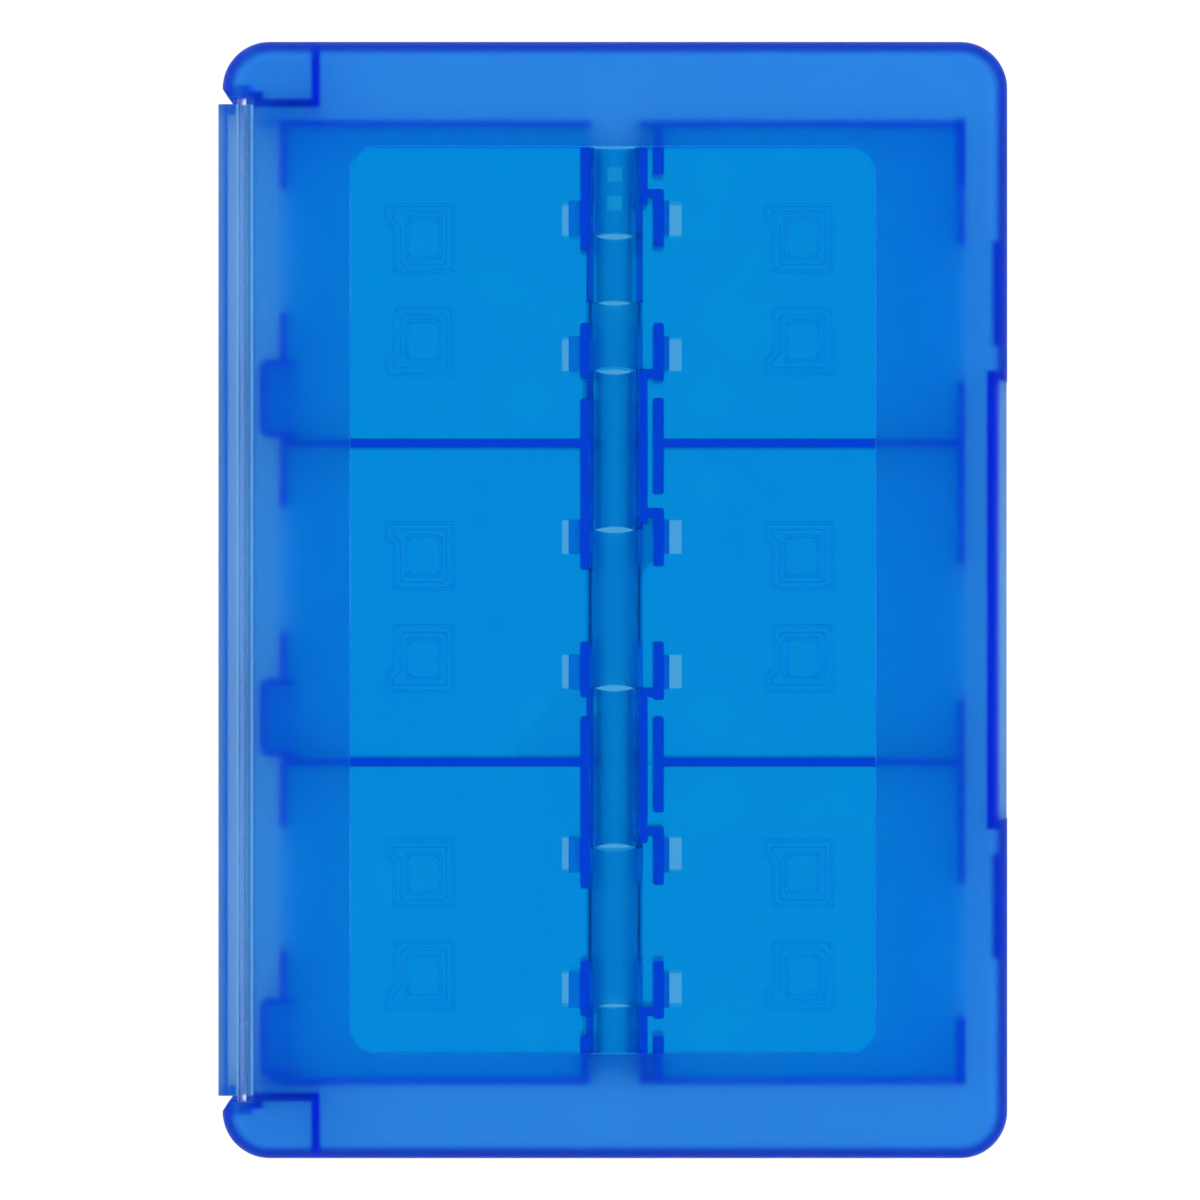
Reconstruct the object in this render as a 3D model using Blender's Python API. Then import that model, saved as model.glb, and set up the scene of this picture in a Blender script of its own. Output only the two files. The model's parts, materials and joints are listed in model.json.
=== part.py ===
"""A game card case: two covers on a common spine, with two double-sided card trays between them.

Metres, +Z up. The closed case lies on its rear cover, with the spine along -X. The origin is at the middle
of the face that the case lies on, and Z is measured up from that face.
"""

import math

import bmesh
import bpy
from mathutils import Matrix

# The card that a pocket holds, and its play in the pocket
card_width = 0.0330
card_length = 0.0350
card_thickness = 0.0038
card_slack = 0.0006
facing_slack = 0.0002

# Clearances between pieces
seat_gap = 0.0003
parting_gap = 0.0003
pin_clearance = 0.00015
cut_overrun = 0.0010
weld_distance = 0.000002

# Trays
rows = 3
tray_wall = 0.0011
tray_floor = 0.0010
tray_wall_height = 0.0034
tray_corner = 0.0009
bar_thickness = 0.0013
tab_gap = 0.0006
tab_bridge = 0.0011

# Finger notches in the outer walls of a tray
right_notch_length = 0.0153
right_notch_drop = 0.0034
left_notch_length = 0.0140
left_notch_rise = 0.0038

# Bumps on the hinge side of a tray
bump_length = 0.0092
bump_reach = 0.0023
bump_wall = 0.0009
bump_corner = 0.0012

# Bars beside the stylus tube: half of a long bar, and where the short tabs begin and end
bar_half_length = 0.0053
tab_inner = 0.0045
tab_outer = 0.0107
left_bar_foot = 0.0132
left_bar_head = 0.0035
flank_head_start = 0.0090

# Card latches and the mould openings under them
latch_offset = 0.0078
latch_length = 0.0039
latch_height = 0.0006
latch_reach_left = 0.0013
latch_reach_right = 0.0005
core_width = 0.0021

# Stylus tube down the middle of each tray
tube_bore_radius = 0.0025
tube_wall = 0.0008
tube_beside_bar = 0.0002
tube_mouth = 0.0036
collar_start = 0.0053
collar_end = 0.0021
collar_bore_radius = 0.0017
shell_above = 0.0084
shell_below = 0.0099
shutoff_width = 0.0048
shutoff_length = 0.0010
peep_count = 2
peep_size = 0.0019
peep_spacing = 0.0033
peep_depth = 0.0023

# Pegs that the trays turn on
peg_radius = 0.0010
peg_length = 0.0019
peg_from_hinge = 0.0030
peg_to_wall = 0.0012
lug_half_height = 0.0020
lug_margin = 0.0002

# Covers
cover_panel = 0.0016
cover_wall = 0.0014
corner_radius = 0.0054
rim_round = 0.0022
ear_setback = 0.0005
window_side_margin = 0.0152
window_end_margin = 0.0123
window_depth = 0.0007
window_corner = 0.0030
tray_end_room = 0.00235

# Ears at the hinge corners of a cover
ear_length = 0.0065
ear_gap = 0.0007
ear_wall = 0.0008
ear_inner_wall = 0.0011
ear_inner_gap = 0.0010
ear_box_length = 0.0077
ear_boss_depth = 0.0015
ear_slant_width = 0.0007
ear_slant_length = 0.0011
ear_trim = 0.0006
ear_trim_start = 0.00015

# Thumb recess and locating tongues on the opening side
thumb_length = 0.0502
thumb_depth = 0.0011
thumb_wall = 0.0013
tongue_length = 0.0123
tongue_middle = 0.0352
tongue_rise = 0.0022
tongue_outside = 0.0008
tongue_thickness = 0.0010
rest_width = 0.0014
rest_length = 0.0080

# Spine and its rods
hinge_inset = 0.0027
barrel_radius = 0.00133
spine_web = 0.0009
spine_end_plate = 0.0012
spine_beyond_tray = 0.0014
spine_corner = 0.0010
rod_radius = 0.00052
rod_end_depth = 0.0009

# How finely round shapes are cut
corner_steps = 5
small_corner_steps = 2
bump_corner_steps = 3
rim_steps = 3
arc_steps = 12
rod_sides = 16

# Faces that meet at an angle between these, in degrees, are shaded as one round surface
round_from_angle = 1
round_to_angle = 35

# Places along X, from the spine on the left to the thumb recess on the right
pocket_width = card_width + card_slack
pocket_length = card_length + card_slack
peg_from_outside = hinge_inset + peg_from_hinge
tray_width = (
    2 * tray_wall + 2 * pocket_width + 2 * bar_thickness + tab_gap + tray_wall
    + 2 * tube_beside_bar + 2 * tube_bore_radius
)
case_width = (
    peg_from_outside + peg_to_wall + tray_width + tray_end_room + thumb_wall + thumb_depth
)
case_left = -case_width / 2
case_right = case_width / 2
hinge_x = case_left + hinge_inset
peg_x = hinge_x + peg_from_hinge
panel_left = hinge_x + barrel_radius + seat_gap
tray_left = peg_x + peg_to_wall
tray_right = tray_left + tray_width
left_bar_x = tray_left + tray_wall + pocket_width
tube_x = left_bar_x + bar_thickness + tube_beside_bar + tube_bore_radius
flank_x = tube_x + tube_bore_radius + tube_beside_bar
tab_x = flank_x + tray_wall + tab_gap
right_pocket_x = tab_x + bar_thickness
bump_left = tray_left - bump_reach

# Places along Y, the same on both sides of the middle
row_pitch = pocket_length + tray_wall
tray_half = (rows * row_pitch + tray_wall) / 2
spine_half = tray_half + spine_beyond_tray
ear_face = spine_half + ear_gap
case_height = 2 * (ear_face + ear_length)
ear_inner_face = tray_half + ear_inner_gap
tube_top = tray_half - tube_mouth

# Places along Z, from the rear face up
outer_room = card_thickness + card_slack
facing_room = card_thickness + facing_slack
case_depth = 2 * (cover_panel + outer_room + tray_floor + facing_room)
cover_height = (case_depth - parting_gap) / 2
rear_tray_z = cover_panel + outer_room + tray_floor / 2
front_tray_z = case_depth - rear_tray_z
tray_half_thickness = tray_floor / 2 + tray_wall_height
rear_hinge_z = hinge_inset
front_hinge_z = case_depth - hinge_inset

body_collection_name = "game_card_case"
guide_collection_name = "cutters"


def clear_scene():
    for obj in list(bpy.data.objects):
        bpy.data.objects.remove(obj, do_unlink=True)


def new_collection(name, parent=None):
    collection = bpy.data.collections.new(name)
    (parent or bpy.context.scene.collection).children.link(collection)
    return collection


def plastic(name, colour, roughness, transmission):
    material = bpy.data.materials.new(name)
    material.use_nodes = True
    shader = material.node_tree.nodes["Principled BSDF"]
    shader.inputs["Base Color"].default_value = (*colour, 1)
    shader.inputs["Roughness"].default_value = roughness
    shader.inputs["Metallic"].default_value = 0
    shader.inputs["Transmission Weight"].default_value = transmission
    material.diffuse_color = (*colour, 1)
    return material


def cover_plastic():
    return plastic("frosted_blue_cover", (0.018, 0.250, 0.716), 0.45, 0.6)


def tray_plastic():
    return plastic("clear_blue_tray", (0.004, 0.230, 0.672), 0.15, 0.6)


def spine_plastic():
    return plastic("clear_blue_spine", (0.080, 0.283, 0.701), 0.25, 0.6)


def rod_plastic():
    return plastic("pale_blue_rod", (0.198, 0.402, 0.745), 0.20, 0.6)


def object_from(shape, name):
    """An object from a bmesh, with its round surfaces shaded smooth and its flat faces left flat."""
    for edge in shape.edges:
        angle = math.degrees(edge.calc_face_angle(math.pi))
        edge.smooth = angle < round_to_angle
        if round_from_angle < angle < round_to_angle:
            for face in edge.link_faces:
                face.smooth = True
    mesh = bpy.data.meshes.new(name)
    shape.to_mesh(mesh)
    shape.free()
    return bpy.data.objects.new(name, mesh)


def box(name, x0, x1, y0, y1, z0, z1):
    """A block between two corners, given in any order."""
    shape = bmesh.new()
    bmesh.ops.create_cube(shape, size=1)
    bmesh.ops.scale(shape, vec=(abs(x1 - x0), abs(y1 - y0), abs(z1 - z0)), verts=shape.verts)
    middle = ((x0 + x1) / 2, (y0 + y1) / 2, (z0 + z1) / 2)
    bmesh.ops.translate(shape, vec=middle, verts=shape.verts)
    return object_from(shape, name)


def rod_along_y(name, x, z, radius, y0, y1, sides=rod_sides):
    """A round bar parallel to the hinge line."""
    shape = bmesh.new()
    bmesh.ops.create_cone(
        shape, cap_ends=True, segments=sides, radius1=radius, radius2=radius, depth=y1 - y0
    )
    turn = Matrix.Rotation(math.radians(90), 4, "X")
    bmesh.ops.transform(shape, matrix=turn, verts=shape.verts)
    bmesh.ops.translate(shape, vec=(x, (y0 + y1) / 2, z), verts=shape.verts)
    return object_from(shape, name)


def plate(name, outline, z0, z1):
    """A flat outline, extruded from z0 to z1 as a closed mesh."""
    curve = bpy.data.curves.new(name, "CURVE")
    curve.dimensions = "2D"
    curve.fill_mode = "BOTH"
    curve.extrude = abs(z1 - z0) / 2
    spline = curve.splines.new("POLY")
    spline.points.add(len(outline) - 1)
    for point, (x, y) in zip(spline.points, outline):
        point.co = (x, y, 0, 1)
    spline.use_cyclic_u = True
    flat = bpy.data.objects.new(name, curve)
    bpy.context.scene.collection.objects.link(flat)
    bpy.context.view_layer.update()
    evaluated = flat.evaluated_get(bpy.context.evaluated_depsgraph_get())
    mesh = bpy.data.meshes.new_from_object(evaluated)
    bpy.data.objects.remove(flat, do_unlink=True)
    shape = bmesh.new()
    shape.from_mesh(mesh)
    bmesh.ops.remove_doubles(shape, verts=shape.verts, dist=weld_distance)
    bmesh.ops.recalc_face_normals(shape, faces=shape.faces)
    bmesh.ops.translate(shape, vec=(0, 0, (z0 + z1) / 2), verts=shape.verts)
    return object_from(shape, name)


def prism_along_y(name, outline_xz, y0, y1):
    """An outline in X and Z, extruded from y0 to y1."""
    obj = plate(name, outline_xz, -y1, -y0)
    obj.data.transform(Matrix.Rotation(math.radians(90), 4, "X"))
    return obj


def arc(x, y, radius, start, end, steps):
    """Points from one angle to another, in degrees, both ends among them."""
    points = []
    for step in range(steps + 1):
        angle = math.radians(start + (end - start) * step / steps)
        points.append((x + radius * math.cos(angle), y + radius * math.sin(angle)))
    return points


def rounded_rectangle(x0, x1, y0, y1, radius, steps=corner_steps):
    return (
        arc(x1 - radius, y0 + radius, radius, -90, 0, steps)
        + arc(x1 - radius, y1 - radius, radius, 0, 90, steps)
        + arc(x0 + radius, y1 - radius, radius, 90, 180, steps)
        + arc(x0 + radius, y0 + radius, radius, 180, 270, steps)
    )


def lens(x, y, width, length, steps=corner_steps):
    """A pointed oval between two shallow arcs, width along X and length along Y."""
    half = width / 2
    sag = length / 2
    radius = (half * half + sag * sag) / (2 * sag)
    sweep = math.degrees(math.asin(half / radius))
    upper = arc(x, y + sag - radius, radius, 90 - sweep, 90 + sweep, steps)
    lower = arc(x, y - sag + radius, radius, 270 - sweep, 270 + sweep, steps)
    return upper[:-1] + lower[:-1]


def combine(body, operation, operands, stage):
    """Joins or cuts body with a group of closed shapes, kept among the cutters."""
    group = new_collection(f"{body.name}_{stage}", guides)
    for operand in operands:
        group.objects.link(operand)
        operand.hide_render = True
        operand.display_type = "WIRE"
    modifier = body.modifiers.new(stage, "BOOLEAN")
    modifier.operation = operation
    modifier.solver = "EXACT"
    modifier.operand_type = "COLLECTION"
    modifier.collection = group
    modifier.show_viewport = False


def switch_on_modifiers():
    """Cuts and joins every piece, once all the shapes are there, and welds the seams that this leaves."""
    for obj in parts.objects:
        if not obj.modifiers:
            continue
        weld = obj.modifiers.new("seams", "WELD")
        weld.merge_threshold = weld_distance
        for modifier in obj.modifiers:
            modifier.show_viewport = True


def finish_part(obj, material, origin):
    """Gives a piece its material and its origin, with the shape left where it is."""
    obj.data.transform(Matrix.Translation([-value for value in origin]))
    obj.location = origin
    obj.data.materials.clear()
    obj.data.materials.append(material)
    parts.objects.link(obj)
    bpy.context.view_layer.update()
    return obj


def carry(child, parent):
    child.parent = parent
    child.matrix_parent_inverse = parent.matrix_world.inverted()


def round_rim(obj, face_z):
    """The same plate, with the edge round its face at face_z rounded over."""
    shape = bmesh.new()
    shape.from_mesh(obj.data)
    rim = [
        edge for edge in shape.edges
        if all(abs(vert.co.z - face_z) < weld_distance for vert in edge.verts)
        and abs(edge.link_faces[0].normal.z - edge.link_faces[1].normal.z) > 1 / 2
    ]
    bmesh.ops.bevel(
        shape, geom=rim, offset=rim_round, segments=rim_steps, profile=1 / 2, affect="EDGES"
    )
    name = obj.name
    bpy.data.objects.remove(obj, do_unlink=True)
    return object_from(shape, name)


def cover_walls(level):
    """The walls that a cover's inside carries: the ear boxes, bosses, thumb wall and tray rests."""
    top = level(cover_height)
    face = level(cover_panel / 2)
    ear_end = case_height / 2 - cover_wall / 2
    ear_left = case_left + ear_setback
    hinge_z = level(hinge_inset)
    walls = []
    for side in (-1, 1):
        inner = side * ear_inner_face
        walls.append(box("ear_inner", panel_left, panel_left + ear_box_length,
                         inner, inner + side * ear_inner_wall, face, top))
        walls.append(box("ear_side", panel_left + ear_box_length - ear_inner_wall,
                         panel_left + ear_box_length, inner, side * ear_end, face, top))
        walls.append(box("ear_jog", panel_left, panel_left + ear_inner_wall,
                         inner, side * (ear_face + ear_wall), face, top))
        walls.append(box("ear_face", ear_left + cover_wall / 2, panel_left + ear_inner_wall,
                         side * ear_face, side * (ear_face + ear_wall), face, top))
        boss = sorted((side * ear_face, side * (ear_face + ear_boss_depth)))
        walls.append(rod_along_y("ear_boss", hinge_x, hinge_z, barrel_radius, *boss))
        walls.append(box("ear_boss_foot", hinge_x - barrel_radius, hinge_x + barrel_radius,
                         *boss, face, hinge_z))
        walls.append(box("rest", tray_right - rest_width, tray_right,
                         side * (tray_half - rest_length), side * tray_half, face,
                         level(cover_panel + outer_room - tray_wall_height - seat_gap)))
    thumb_half = thumb_length / 2 + thumb_wall
    walls.append(box("thumb_block", case_right - thumb_depth - thumb_wall,
                     case_right - cover_wall / 2, -thumb_half, thumb_half, face, top))
    return walls


def cover_openings(level):
    """The cuts through a finished cover: the spine's place, the window, thumb recess and holes."""
    over = cut_overrun
    top = level(cover_height + over)
    face = level(-over)
    tray_z = level(rear_tray_z)
    hinge_z = level(hinge_inset)
    ear_left = case_left + ear_setback
    cuts = [
        box("spine_place", case_left - over, panel_left, -ear_face, ear_face, face, top),
        box("thumb_recess", case_right - thumb_depth, case_right + over,
            -thumb_length / 2, thumb_length / 2, level(cover_panel), top),
        plate("window", rounded_rectangle(
            case_left + window_side_margin, case_right - window_side_margin,
            -case_height / 2 + window_end_margin, case_height / 2 - window_end_margin,
            window_corner), face, level(window_depth)),
    ]
    for side in (-1, 1):
        rod_end = ear_face + rod_end_depth + pin_clearance
        span = sorted((side * (ear_face - over), side * rod_end))
        cuts.append(rod_along_y("rod_hole", hinge_x, hinge_z, rod_radius + pin_clearance, *span))
        peg_end = ear_inner_face + ear_inner_wall + seat_gap
        span = sorted((side * (ear_inner_face - over), side * peg_end))
        cuts.append(rod_along_y("peg_hole", peg_x, tray_z, peg_radius + pin_clearance, *span))
        trim = [
            (hinge_x, level(cover_height - ear_trim_start)),
            (hinge_x, top),
            (case_left - over, top),
            (case_left - over, level(cover_height - ear_trim)),
        ]
        end = sorted((side * (ear_face - over), side * (case_height / 2 + over)))
        cuts.append(prism_along_y("ear_trim", trim, *end))
        slant = [
            (ear_left - ear_slant_width, side * (ear_face + 2 * ear_slant_length)),
            (ear_left - ear_slant_width, side * (ear_face - ear_slant_length)),
            (ear_left + 2 * ear_slant_width, side * (ear_face - ear_slant_length)),
        ]
        cuts.append(plate("ear_slant", slant, *sorted((face, top))))
    return cuts


def cover(name, level):
    """One cover. level turns a height over the cover's outer face into a place along Z."""
    ear_left = case_left + ear_setback
    half = case_height / 2
    outline = rounded_rectangle(ear_left, case_right, -half, half, corner_radius)
    low, high = sorted((level(0), level(cover_height)))
    obj = round_rim(plate(name, outline, low, high), level(0))
    inside = rounded_rectangle(
        ear_left + cover_wall, case_right - cover_wall, -half + cover_wall, half - cover_wall,
        corner_radius - cover_wall)
    low, high = sorted((level(cover_panel), level(cover_height + cut_overrun)))
    combine(obj, "DIFFERENCE", [plate("cavity", inside, low, high)], "hollow")
    combine(obj, "UNION", cover_walls(level), "walls")
    combine(obj, "DIFFERENCE", cover_openings(level), "openings")
    return obj


def tongue_places():
    """The middle of each locating tongue along the opening side."""
    return (-tongue_middle, tongue_middle)


def locating_tongues():
    """Tongues on the rear cover that rise past the parting line inside the front cover's wall."""
    outside = case_right - tongue_outside
    return [
        box("tongue", outside - tongue_thickness, outside,
            middle - tongue_length / 2, middle + tongue_length / 2,
            cover_panel / 2, cover_height + tongue_rise)
        for middle in tongue_places()
    ]


def tongue_rebates():
    """The rebates in the front cover's wall that take the tongues."""
    outside = case_right - tongue_outside
    half = tongue_length / 2 + seat_gap
    return [
        box("rebate", outside - tongue_thickness - cut_overrun, outside + seat_gap,
            middle - half, middle + half,
            case_depth / 2 - cut_overrun, cover_height + tongue_rise + seat_gap)
        for middle in tongue_places()
    ]


def rear_level(height):
    return height


def front_level(height):
    return case_depth - height


def rear_cover():
    obj = cover("rear_cover", rear_level)
    combine(obj, "UNION", locating_tongues(), "tongues")
    return finish_part(obj, cover_plastic(), (0, 0, 0))


def front_cover():
    obj = cover("front_cover", front_level)
    combine(obj, "DIFFERENCE", tongue_rebates(), "rebates")
    return finish_part(obj, cover_plastic(), (hinge_x, 0, front_hinge_z))


def spine():
    """A channel with a grooved barrel along each edge, closed by a plate at each end."""
    top = front_hinge_z + barrel_radius
    foot = rear_hinge_z - barrel_radius
    lip = spine_web
    channel = (
        arc(case_left + spine_corner, foot + spine_corner, spine_corner, 270, 180, corner_steps)
        + arc(case_left + spine_corner, top - spine_corner, spine_corner, 180, 90, corner_steps)
        + [(hinge_x, top), (hinge_x, top - lip), (case_left + spine_web, top - lip)]
        + [(case_left + spine_web, foot + lip), (hinge_x, foot + lip), (hinge_x, foot)]
    )
    obj = prism_along_y("spine", channel, -spine_half, spine_half)
    added = []
    for hinge_z in (rear_hinge_z, front_hinge_z):
        added.append(rod_along_y("barrel", hinge_x, hinge_z, barrel_radius, -spine_half, spine_half,
                                 2 * arc_steps))
    plate_right = hinge_x - rod_radius
    for side in (-1, 1):
        ends = sorted((side * (spine_half - spine_end_plate), side * spine_half))
        added.append(box("end_plate", case_left + spine_web / 2, plate_right, *ends,
                         rear_hinge_z, front_hinge_z))
    combine(obj, "UNION", added, "barrels")
    bore = rod_radius + pin_clearance
    end = spine_half + cut_overrun
    grooves = []
    for hinge_z, outward in ((rear_hinge_z, -1), (front_hinge_z, 1)):
        grooves.append(rod_along_y("bore", hinge_x, hinge_z, bore, -end, end))
        grooves.append(box("groove", hinge_x - rod_radius, hinge_x + rod_radius, -end, end,
                           hinge_z, hinge_z + outward * (barrel_radius + cut_overrun)))
    combine(obj, "DIFFERENCE", grooves, "grooves")
    return finish_part(obj, spine_plastic(), (hinge_x, 0, rear_hinge_z))


def hinge_rod(name, hinge_z):
    reach = ear_face + rod_end_depth
    obj = rod_along_y(name, hinge_x, hinge_z, rod_radius, -reach, reach)
    return finish_part(obj, rod_plastic(), (hinge_x, 0, hinge_z))


def row_centres():
    return [(rows - 1 - 2 * row) / 2 * row_pitch for row in range(rows)]


def outer_walls(low, high):
    """The walls round a tray, with a finger notch in each row on both sides."""
    walls = []
    for side in (-1, 1):
        end = sorted((side * tray_half, side * (tray_half - tray_wall)))
        walls.append(box("end_left", tray_left, left_bar_x + bar_thickness, *end, low, high))
        walls.append(box("end_right", flank_x, tray_right, *end, low, high))
    for divider in range(1, rows):
        middle = tray_half - tray_wall / 2 - divider * row_pitch
        span = (middle - tray_wall / 2, middle + tray_wall / 2)
        walls.append(box("divider_left", tray_left, left_bar_x + bar_thickness, *span, low, high))
        walls.append(box("divider_right", tab_x, tray_right, *span, low, high))
    for centre in row_centres():
        top = centre + row_pitch / 2
        foot = centre - row_pitch / 2
        notch = centre - right_notch_drop + right_notch_length / 2
        walls.append(box("right_upper", tray_right - tray_wall, tray_right, notch, top, low, high))
        walls.append(box("right_lower", tray_right - tray_wall, tray_right, foot,
                         notch - right_notch_length, low, high))
        notch = centre + left_notch_rise + left_notch_length / 2
        walls.append(box("left_upper", tray_left, tray_left + tray_wall, notch, top, low, high))
        walls.append(box("left_lower", tray_left, tray_left + tray_wall, foot + bump_length,
                         notch - left_notch_length, low, high))
    return walls


def bumps(low, high):
    """The walled bumps on the hinge side, one at the foot of each row."""
    made = []
    for centre in row_centres():
        foot = centre - row_pitch / 2 + tray_wall / 2
        made.append(plate("bump", rounded_rectangle(
            bump_left, tray_left + tray_wall + bump_corner, foot, foot + bump_length, bump_corner,
            bump_corner_steps), low, high))
    return made


def bump_hollows():
    """The room inside the bumps, on both faces of the floor."""
    made = []
    for centre in row_centres():
        foot = centre - row_pitch / 2 + tray_wall / 2
        for face in (-1, 1):
            made.append(box("bump_room", bump_left + bump_wall, tray_left + tray_wall + 2 * bump_corner,
                            foot + bump_wall, foot + bump_length - bump_wall,
                            face * tray_floor / 2, face * (tray_half_thickness + cut_overrun)))
    return made


def bars_and_tabs(low, high):
    """The broken walls on both sides of the stylus tube, and the sprung tabs that carry the latches."""
    made = []
    left = (left_bar_x, left_bar_x + bar_thickness)
    right = (tab_x, tab_x + bar_thickness)
    for centre in row_centres():
        top = centre + row_pitch / 2
        foot = centre - row_pitch / 2
        inside_top = min(top, tube_top)
        made.append(box("left_head", *left, centre + left_bar_head, inside_top, low, high))
        made.append(box("left_tab", *left, centre - tab_outer, centre - tab_inner, low, high))
        made.append(box("left_foot", *left, foot, centre - left_bar_foot, low, high))
        made.append(box("right_head", *right, top - bar_half_length, top, low, high))
        made.append(box("right_foot", *right, foot, foot + bar_half_length, low, high))
        for side in (-1, 1):
            outer = centre + side * tab_outer
            made.append(box("right_tab", *right, centre + side * tab_inner, outer, low, high))
            made.append(box("bridge", flank_x, tab_x + bar_thickness, outer,
                            outer - side * tab_bridge, low, high))
    return made


def flank_walls(low, high):
    """The wall between the tube and the right-hand tabs, beside the open lengths of the tube."""
    made = []
    for centre in row_centres():
        top = min(centre + row_pitch / 2, tube_top)
        foot = centre - row_pitch / 2 - tray_wall / 2
        made.append(box("flank_head", flank_x, flank_x + tray_wall,
                        centre + flank_head_start, top, low, high))
        made.append(box("flank_foot", flank_x, flank_x + tray_wall,
                        foot, centre - tab_outer + tab_bridge, low, high))
    return made


def latches():
    """Small lips at the top of the tabs that hold a card down, on both faces."""
    made = []
    for centre in row_centres():
        for side in (-1, 1):
            middle = centre + side * latch_offset
            span = (middle - latch_length / 2, middle + latch_length / 2)
            for face in (-1, 1):
                lip = (face * (tray_half_thickness - latch_height), face * tray_half_thickness)
                made.append(box("latch_left", left_bar_x - latch_reach_left,
                                left_bar_x + bar_thickness / 2, *span, *lip))
                made.append(box("latch_right", right_pocket_x - bar_thickness / 2,
                                right_pocket_x + latch_reach_right, *span, *lip))
    return made


def core_openings():
    """The mould openings through the floor under the latches."""
    made = []
    deep = tray_floor / 2 + cut_overrun
    for centre in row_centres():
        for side in (-1, 1):
            middle = centre + side * latch_offset
            span = (middle - latch_length / 2, middle + latch_length / 2)
            made.append(box("core_left", left_bar_x - core_width, left_bar_x,
                            *span, -deep, deep))
            made.append(box("core_right", right_pocket_x, right_pocket_x + core_width,
                            *span, -deep, deep))
    return made


def tube_lengths():
    """The lengths of the stylus tube from its mouth down: (y from, y to, face of the shell)."""
    centres = row_centres()
    first_foot = centres[0] - shell_below
    collar_top = centres[0] + collar_start
    collar_foot = centres[0] - collar_end
    lengths = [(tube_top, collar_top, -1), (collar_top, collar_foot, 0), (collar_foot, first_foot, 1)]
    last = first_foot
    for centre in centres[1:]:
        lengths.append((last, centre + shell_above, -1))
        lengths.append((centre + shell_above, centre - shell_below, 1))
        last = centre - shell_below
    lengths.append((last, -tray_half + tray_wall, -1))
    return lengths


def shell_runs(face):
    """The stretches, as (y from, y to), along which the tube has its shell on one face of the floor."""
    runs = []
    for start, end, shell_face in tube_lengths():
        if shell_face == -face:
            continue
        if runs and runs[-1][1] == start:
            start = runs.pop()[0]
        runs.append((start, end))
    return runs


def tube_shells(faces_up):
    """Half shells by turns above and below the floor, and both of them at the collar."""
    made = []
    for face in (-1, 1):
        half = face * faces_up
        outline = arc(tube_x, 0, tube_bore_radius + tube_wall, 0, 180 * half, arc_steps)
        if half < 0:
            outline.reverse()
        for start, end in shell_runs(face):
            made.append(prism_along_y("tube_shell", outline, end, start))
    return made


def tube_cuts():
    """The bore, the pointed gaps where two shells meet, and the two peep holes near the mouth."""
    made = []
    beyond = tray_half + cut_overrun
    lengths = tube_lengths()
    collar_top, collar_foot, _ = lengths[1]
    made.append(rod_along_y("bore_low", tube_x, 0, tube_bore_radius, -beyond, collar_foot, 2 * arc_steps))
    made.append(rod_along_y("bore_top", tube_x, 0, tube_bore_radius, collar_top, beyond, 2 * arc_steps))
    made.append(rod_along_y("collar_bore", tube_x, 0, collar_bore_radius, collar_foot - cut_overrun,
                            collar_top + cut_overrun, 2 * arc_steps))
    deep = tube_bore_radius + tube_wall + cut_overrun
    for start, _, _ in lengths[1:]:
        made.append(plate("shutoff", lens(tube_x, start, shutoff_width, shutoff_length), -deep, deep))
    for hole in range(peep_count):
        top = tube_top - peep_depth - hole * peep_spacing
        made.append(box("peep", tube_x - peep_size / 2, tube_x + peep_size / 2, top - peep_size, top,
                        -deep, deep))
    return made


def pegs():
    """The pegs that the tray turns on, with the lug that joins each to the tray's end wall."""
    made = []
    for side in (-1, 1):
        root = side * (tray_half - tray_wall / 2)
        span = sorted((root, side * (tray_half + peg_length)))
        made.append(rod_along_y("peg", peg_x, 0, peg_radius, *span))
        made.append(box("lug", peg_x - peg_radius - lug_margin, tray_left + tray_wall / 2,
                        side * (tray_half - tray_wall), side * tray_half,
                        -lug_half_height, lug_half_height))
    return made


def tray(name, middle_z, faces_up):
    """One tray, modelled about its own middle plane and then set at middle_z."""
    low = -tray_half_thickness
    high = tray_half_thickness
    outline = rounded_rectangle(tray_left, tray_right, -tray_half, tray_half, tray_corner,
                                small_corner_steps)
    obj = plate(name, outline, -tray_floor / 2, tray_floor / 2)
    walls = outer_walls(low, high) + bars_and_tabs(low, high) + flank_walls(low, high)
    combine(obj, "UNION", walls + bumps(low, high), "walls")
    combine(obj, "UNION", tube_shells(faces_up) + latches() + pegs(), "fittings")
    combine(obj, "DIFFERENCE", tube_cuts() + core_openings() + bump_hollows(), "openings")
    for group in guides.children:
        if group.name.startswith(name):
            for operand in group.objects:
                operand.location.z = middle_z
    obj.data.transform(Matrix.Translation((0, 0, middle_z)))
    return finish_part(obj, tray_plastic(), (peg_x, 0, middle_z))


clear_scene()
parts = new_collection(body_collection_name)
guides = new_collection(guide_collection_name)

rear = rear_cover()
joining_spine = spine()
rear_rod = hinge_rod("rear_hinge_rod", rear_hinge_z)
front_rod = hinge_rod("front_hinge_rod", front_hinge_z)
front = front_cover()
rear_leaf = tray("rear_tray", rear_tray_z, -1)
front_leaf = tray("front_tray", front_tray_z, 1)

for child, parent in (
    (joining_spine, rear), (rear_rod, joining_spine), (front_rod, joining_spine),
    (front, joining_spine), (rear_leaf, rear), (front_leaf, front),
):
    carry(child, parent)
switch_on_modifiers()

print(f"closed case {case_width:.4f} x {case_height:.4f} x {case_depth:.4f} m")
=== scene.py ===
# %% [markdown]
# # A translucent blue game card case
#
# The case is a little book. Two moulded covers turn on a spine, and two leaves with card pockets on both
# faces turn inside them. Every piece is blue see-through plastic, so the photograph shows all the layers at
# once: the front cover, a tray, another tray, the rear cover, and the white table under them.
#
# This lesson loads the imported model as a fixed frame, then models each piece again with the fine edges,
# marks and finishes that light shows up when it passes through clear plastic.

# %% Load the frame
import json
import math

import bmesh
import bpy
from mathutils import Matrix, Vector

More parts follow.
